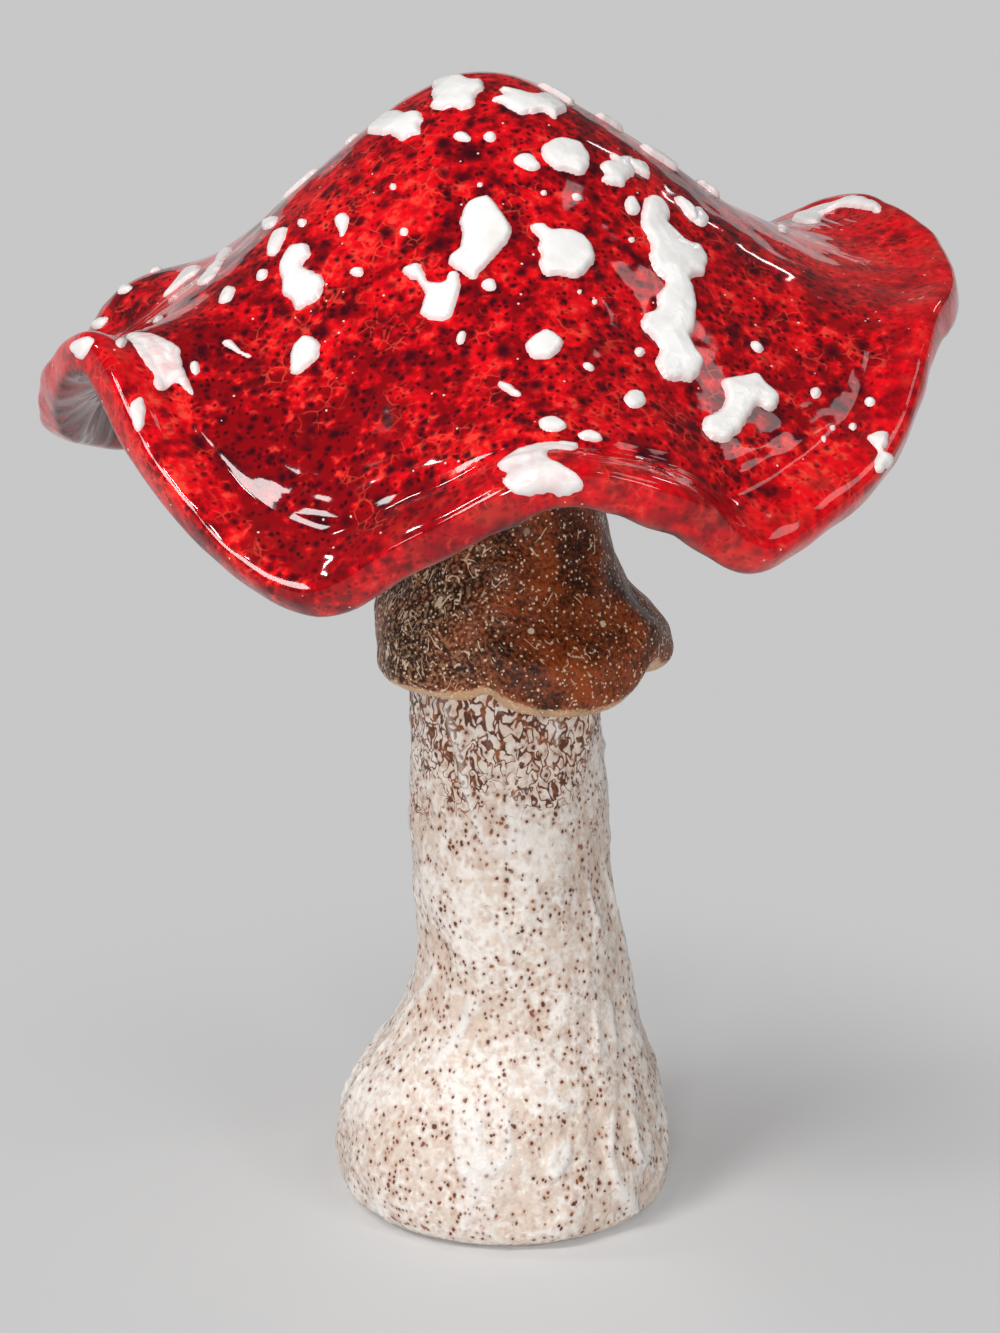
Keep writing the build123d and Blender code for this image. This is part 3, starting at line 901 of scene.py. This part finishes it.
def seen_spot(mesh, cap, sizes, pixels, height, blush, longest=None):
    """A spot outlined in the photograph's pixels, no longer than so many times its width."""
    found = seen_on(cap, pixels)
    if len(found) < 4:
        raise RuntimeError("a spot's outline misses the cap")
    middle = sum((hit for hit, _ in found), Vector()) / len(found)
    normal = sum((facing for _, facing in found), Vector()).normalized()
    level, uphill = plane_axes(normal)
    outline = np.array([((hit - middle).dot(level), (hit - middle).dot(uphill)) for hit, _ in found])
    if longest is not None:
        _, spread, axes = np.linalg.svd(outline, full_matrices=False)
        shorter = min(1, longest * spread[1] / spread[0])
        outline = outline @ axes.T * (shorter, 1) @ axes
    add_spot(mesh, cap, sizes, middle, normal, outline, height, blush)


def far_spot(mesh, cap, sizes, azimuth, distance, outline, height):
    """A spot that is placed by its azimuth and its distance from the axis."""
    turn = radians(azimuth)
    above = Vector((distance * cos(turn), distance * sin(turn), DROP_FROM))
    middle, normal, _, _ = cap.ray_cast(above, -UP)
    if middle is None:
        raise RuntimeError("a spot lies outside the cap")
    add_spot(mesh, cap, sizes, middle, normal, outline, height, 0)


class MUSHROOM_OT_spots(bpy.types.Operator):
    """Raise the white spots on the cap"""

    bl_idname = "mushroom.spots"
    bl_label = "Spots"
    dot_height = 0.0007
    dot_stretch = 3.5
    patch_height = 0.0011

    def execute(self, context):
        settings = context.scene.mushroom
        sizes = settings.spots
        shell = bpy.data.objects.get("cap_shell")
        if shell is None:
            raise RuntimeError("the cap is made before its spots")
        cap = BVHTree.FromObject(shell, context.evaluated_depsgraph_get())
        large, small = bmesh.new(), bmesh.new()
        for mesh in (large, small):
            mesh.verts.layers.float.new("edge")
            mesh.verts.layers.float.new("blush")
        for blush, height, pixels in TRACED_SPOTS.values():
            seen_spot(large, cap, sizes, pixels, height * MM, blush)
        for azimuth, distance, run, width, turn in FAR_SPOTS:
            outline = oval(width * MM, run * MM, radians(turn), 0.16)
            far_spot(large, cap, sizes, azimuth, distance * MM, outline, self.patch_height)
        for x, y, width, depth, turn in ROUND_SPOTS:
            pixels = oval(width, depth, radians(turn), 0.06, 10) + (x, y)
            seen_spot(small, cap, sizes, pixels, self.dot_height, 0, self.dot_stretch)
        for azimuth, distance, width in FAR_DOTS:
            outline = oval(width * MM, width * MM, 0, 0.06, 10)
            far_spot(small, cap, sizes, azimuth, distance * MM, outline, self.dot_height)
        material = white_glaze(settings.colours)
        for mesh, name in ((large, "large_spots"), (small, "small_spots")):
            bmesh.ops.recalc_face_normals(mesh, faces=mesh.faces)
            add_piece("cap_" + name, mesh, material, "cap_body", name)
        return {"FINISHED"}


def rows_between(stops, spacing):
    """Points of an outline with rows no further apart than a spacing."""
    rows = []
    for (out, height), (next_out, next_height) in zip(stops, stops[1:]):
        run = ((next_out - out) ** 2 + (next_height - height) ** 2) ** 0.5
        count = max(1, round(run / spacing))
        rows += [
            (out + (next_out - out) * step / count, height + (next_height - height) * step / count)
            for step in range(count)
        ]
    return rows + [stops[-1]]


class MUSHROOM_OT_stem(bpy.types.Operator):
    """Model the flared stem with its neck, peg and hollow"""

    bl_idname = "mushroom.stem"
    bl_label = "Stem"
    segments = 288
    wall_rows = 190
    row_spacing = 0.003
    wall_thickness = 0.005
    hollow_radius = 0.009
    bevel = 0.0015
    row_crowding = 1.15
    foot_fade = 0.004
    shoulder_fade = 0.006
    foot_zone = 0.040

    def execute(self, context):
        settings = context.scene.mushroom
        sizes = settings.stem
        foot_height, ankle_height = sizes.foot_height, sizes.ankle_height
        calf_height, shin_height = ankle_height + 14 * MM, ankle_height + 32 * MM
        wall = np.array([
            (0, sizes.foot_ring, 0),
            (foot_height / 6, sizes.foot - 1.5 * MM, 0),
            (0.6 * foot_height, sizes.foot, 0),
            (1.2 * foot_height, sizes.foot - 0.3 * MM, 0),
            (2 * foot_height, sizes.foot - 2.4 * MM, 0),
            (ankle_height, sizes.ankle, 0.7 * sizes.lean),
            (calf_height, sizes.shaft + 1.6 * MM, sizes.lean),
            (shin_height, sizes.shaft + 0.7 * MM, 0.2 * sizes.lean),
            (sizes.shoulder, sizes.shaft, 0),
        ])
        outline = rows_between([
            (0, sizes.spigot_top),
            (sizes.spigot - self.bevel, sizes.spigot_top),
            (sizes.spigot, sizes.spigot_top - self.bevel),
            (sizes.spigot, sizes.neck_top),
            (sizes.neck, sizes.neck_top),
            (sizes.neck, sizes.shoulder),
            (sizes.shaft, sizes.shoulder),
        ], self.row_spacing)
        left = 1 - np.arange(1, self.wall_rows + 1) / self.wall_rows
        heights = sizes.shoulder * left**self.row_crowding
        radii = through(wall, heights)[0]
        outline += list(zip(radii.tolist(), heights.tolist()))
        outline += rows_between([
            (sizes.foot_bore, 0),
            (sizes.foot - self.wall_thickness, foot_height),
            (sizes.ankle - self.wall_thickness, ankle_height),
            (sizes.shaft - self.wall_thickness, shin_height),
            (self.hollow_radius, sizes.hollow_top),
            (0, sizes.hollow_top),
        ], self.row_spacing)
        mesh = spun(outline, self.segments, False)
        flat = places(mesh)
        out, _ = polar(flat)
        height = flat[:, 2]
        radius, shift = through(wall, np.clip(height, 0, sizes.shoulder))
        outside = (np.abs(out - radius) < WALL_TOLERANCE) & (height < sizes.shoulder)
        strength = outside * smooth_step(height, 0, self.foot_fade)
        strength = strength * smooth_step(sizes.shoulder - height, 0, self.shoulder_fade)
        foot = 0.8 + 0.8 * smooth_step(self.foot_zone - height, 0, 0.030)
        tall = flat * (1, 1, 0.6)
        swell = 0.8 * clouds(tall + 2, 105) + 0.5 * clouds(tall + 3, 220) + 0.22 * clouds(flat + 5, 480)
        sway = np.stack([clouds(flat + step, 70) for step in (4, 5, 6)], axis=1)
        bent = flat * (1, 1, 0.4) + 0.004 * sway
        strands = np.clip(1 - 7 * np.abs(clouds(bent, 110)), 0, 1)
        strands = strands * smooth_step(clouds(flat + 7, 60), -0.2, 0.3)
        push = strength * (sizes.relief * (foot * clouds(flat, 42) + swell) + sizes.ridge * strands)
        shape(mesh, pushed_out(flat, push, outside * shift), ridge=strands * strength, swell=swell)
        add_piece("stem_column", mesh, cream_glaze(settings.colours), "stem_body", "stem")
        return {"FINISHED"}


class MUSHROOM_OT_skirt(bpy.types.Operator):
    """Model the brown skirt as a strip of clay lapped round the neck"""

    bl_idname = "mushroom.skirt"
    bl_label = "Skirt"
    segments = 288
    bell_rows = 90
    lap_azimuth = 259
    flap_azimuth = 304
    notch_azimuth = 334
    lobes = 5
    row_spacing = 0.002
    shoulder_clearance = 0.0006
    row_crowding = 1.5
    top_fade = 0.020
    droop_zone = 0.026
    flare_zone = 0.006

    def execute(self, context):
        settings = context.scene.mushroom
        sizes = settings.skirt
        low, belly = sizes.edge_height, sizes.belly_height
        bell = np.array([
            (0, sizes.edge, 0.6),
            (0.16 * belly, sizes.belly - 2 * MM, 0.9),
            (belly, sizes.belly, 1),
            (2 * belly, sizes.belly - 3.3 * MM, -0.5),
            (0.6 * sizes.height, sizes.top + 2.9 * MM, -0.2),
            (sizes.height, sizes.top, 0),
        ])
        rise = sizes.height * (np.arange(self.bell_rows + 1) / self.bell_rows) ** self.row_crowding
        radii = through(bell, rise)[0]
        outline = list(zip(radii.tolist(), (low + rise).tolist()))
        shoulder = settings.stem.shoulder
        recess = settings.stem.shaft + self.shoulder_clearance
        outline += rows_between([
            (sizes.bore, low + sizes.height),
            (sizes.bore, shoulder),
            (recess, shoulder),
            (recess, low),
        ], self.row_spacing)
        mesh = spun(outline, self.segments, True)
        flat = places(mesh)
        out, azimuth = polar(flat)
        height = flat[:, 2] - low
        radius, swing = through(bell, np.clip(height, 0, sizes.height))
        outside = np.abs(out - radius) < WALL_TOLERANCE
        past = (azimuth - self.lap_azimuth) % 360
        lap = smooth_step(past, 0, 4) * (1 - smooth_step(past, 60, 330)) - 0.45
        fade = smooth_step(sizes.height - height, 0, self.top_fade)
        lumps = clouds(flat, 70) + 0.6 * clouds(flat + 2, 170) + 0.25 * clouds(flat + 4, 400)
        push = swing * sizes.wave * np.cos(self.lobes * np.radians(azimuth))
        flap = near_azimuth(azimuth, self.flap_azimuth, 30)
        notch = near_azimuth(azimuth, self.notch_azimuth, 11)
        droop = flap - 1.5 * notch - near_azimuth(azimuth, self.lap_azimuth - 1, 9)
        droop = sizes.droop * droop * (1 - smooth_step(height, 0, self.droop_zone)) * (height > -1 * MM)
        push = push + sizes.flare * flap * (1 - smooth_step(height, 0, self.flare_zone))
        push = push + fade * (sizes.overlap * lap + sizes.relief * lumps)
        edge = 1 - smooth_step(height, 0.0018, 0.0042) + 0.25 * lumps
        moved = pushed_out(flat, push * outside, outside * swing * sizes.lean)
        moved[:, 2] -= droop
        shape(mesh, moved, edge=edge)
        add_piece("skirt_bell", mesh, brown_glaze(settings.colours), "stem_body", "skirt")
        return {"FINISHED"}


class MUSHROOM_OT_collar(bpy.types.Operator):
    """Glaze the collar under the cap"""

    bl_idname = "mushroom.collar"
    bl_label = "Collar"

    def execute(self, context):
        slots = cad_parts["collar"].data.materials
        slots.clear()
        slots.append(dark_glaze(context.scene.mushroom.colours))
        return {"FINISHED"}


def add_softbox(name, place, target, width, depth, radiance):
    """A rectangular lamp that faces a target with an even radiance."""
    lamp = bpy.data.lights.new(name, "AREA")
    lamp.shape = "RECTANGLE"
    lamp.size = width
    lamp.size_y = depth
    lamp.energy = radiance * pi * width * depth
    holder = bpy.data.objects.new(name, lamp)
    holder.location = place
    holder.rotation_euler = (target - place).to_track_quat("-Z", "Y").to_euler()
    bpy.context.scene.collection.objects.link(holder)


def floor_paint(grey, far):
    """Plain paint of the floor, which the camera sees go over to an even grey far off."""
    paint = Glaze("floor_paint", base_color=(*grey, 1), roughness=0.9, specular_ior_level=0)
    path = paint.node("ShaderNodeLightPath", {}, {})
    seen = Value(paint, path.outputs["Is Camera Ray"])
    for kind in ("Is Glossy Ray", "Is Transmission Ray"):
        seen = seen.either(Value(paint, path.outputs[kind]))
    distance = paint.vector("LENGTH", {0: paint.place}, "Value")
    even = paint.value("ShaderNodeEmission", {}, {"Color": (*far, 1)})
    body = Value(paint, paint.shader.outputs["BSDF"])
    even_near, even_from, even_to = 0.28, 0.03, 0.15
    share = seen * (paint.ramp(distance, even_from, even_to) * (1 - even_near) + even_near)
    mixed = paint.value("ShaderNodeMixShader", {}, {0: share, 1: body, 2: even})
    paint.tree.links.new(mixed.socket, paint.tree.nodes["Material Output"].inputs["Surface"])
    return paint.material


class MUSHROOM_OT_stage(bpy.types.Operator):
    """Set up the floor, the lamps, the world and the camera"""

    bl_idname = "mushroom.stage"
    bl_label = "Stage"
    backdrop = ((0, 0), (4.0, 0), (5.2, 0.12), (5.9, 0.5), (6.2, 1.4))
    backdrop_steps = 96
    aim_height = 0.12
    sensor = 36

    def execute(self, context):
        scene = context.scene
        levels = scene.mushroom.stage
        mesh = spun(self.backdrop, self.backdrop_steps, False)
        floor = add_object("floor", mesh, floor_paint(levels.floor, levels.far))
        middle = UP * self.aim_height
        for name, (azimuth, elevation, distance, width, depth, radiance) in SOFTBOXES.items():
            tilt, turn = radians(elevation), radians(azimuth)
            direction = Vector((cos(tilt) * cos(turn), cos(tilt) * sin(turn), sin(tilt)))
            place = middle + direction * distance
            add_softbox(name, place, middle, width, depth, radiance * levels.lamps)
        world = bpy.data.worlds.new("studio")
        world.use_nodes = True
        background = world.node_tree.nodes["Background"].inputs
        background["Color"].default_value = (1, 1, 1, 1)
        background["Strength"].default_value = levels.fill
        scene.world = world
        place, right, up, forward = camera_axes()
        camera = bpy.data.objects.new("camera", bpy.data.cameras.new("camera"))
        camera.data.sensor_width = self.sensor
        camera.data.lens = PHOTO_FOCUS * self.sensor / PHOTO_HEIGHT
        camera.data.clip_start = 0.01
        turned = Matrix((right, up, -forward)).transposed().to_4x4()
        camera.matrix_world = Matrix.Translation(place) @ turned
        scene.collection.objects.link(camera)
        scene.camera = camera
        scene.view_settings.view_transform = "Standard"
        return {"FINISHED"}


class MUSHROOM_PT_panel(bpy.types.Panel):
    """Lists the mushroom's sizes, colours and steps"""

    bl_label = "Mushroom"
    bl_idname = "MUSHROOM_PT_panel"
    bl_space_type = "VIEW_3D"
    bl_region_type = "UI"
    bl_category = "Mushroom"

    def draw(self, context):
        for group_name in MushroomSettings.__annotations__:
            group = getattr(context.scene.mushroom, group_name)
            box = self.layout.box()
            for setting in type(group).__annotations__:
                box.prop(group, setting)
        for operator in OPERATORS:
            self.layout.operator(operator.bl_idname)


OPERATORS = [
    MUSHROOM_OT_stage,
    MUSHROOM_OT_cap,
    MUSHROOM_OT_spots,
    MUSHROOM_OT_stem,
    MUSHROOM_OT_skirt,
    MUSHROOM_OT_collar,
]
CLASSES = [
    CapSizes,
    StemSizes,
    SkirtSizes,
    SpotSizes,
    GlazeColours,
    StageLevels,
    MushroomSettings,
    *OPERATORS,
    MUSHROOM_PT_panel,
]


def register():
    for kind in CLASSES:
        bpy.utils.register_class(kind)
    bpy.types.Scene.mushroom = PointerProperty(type=MushroomSettings)


def unregister():
    del bpy.types.Scene.mushroom
    for kind in reversed(CLASSES):
        bpy.utils.unregister_class(kind)


def main():
    register()
    for operator in OPERATORS:
        group, step = operator.bl_idname.split(".")
        getattr(getattr(bpy.ops, group), step)()


if __name__ == "__main__":
    main()
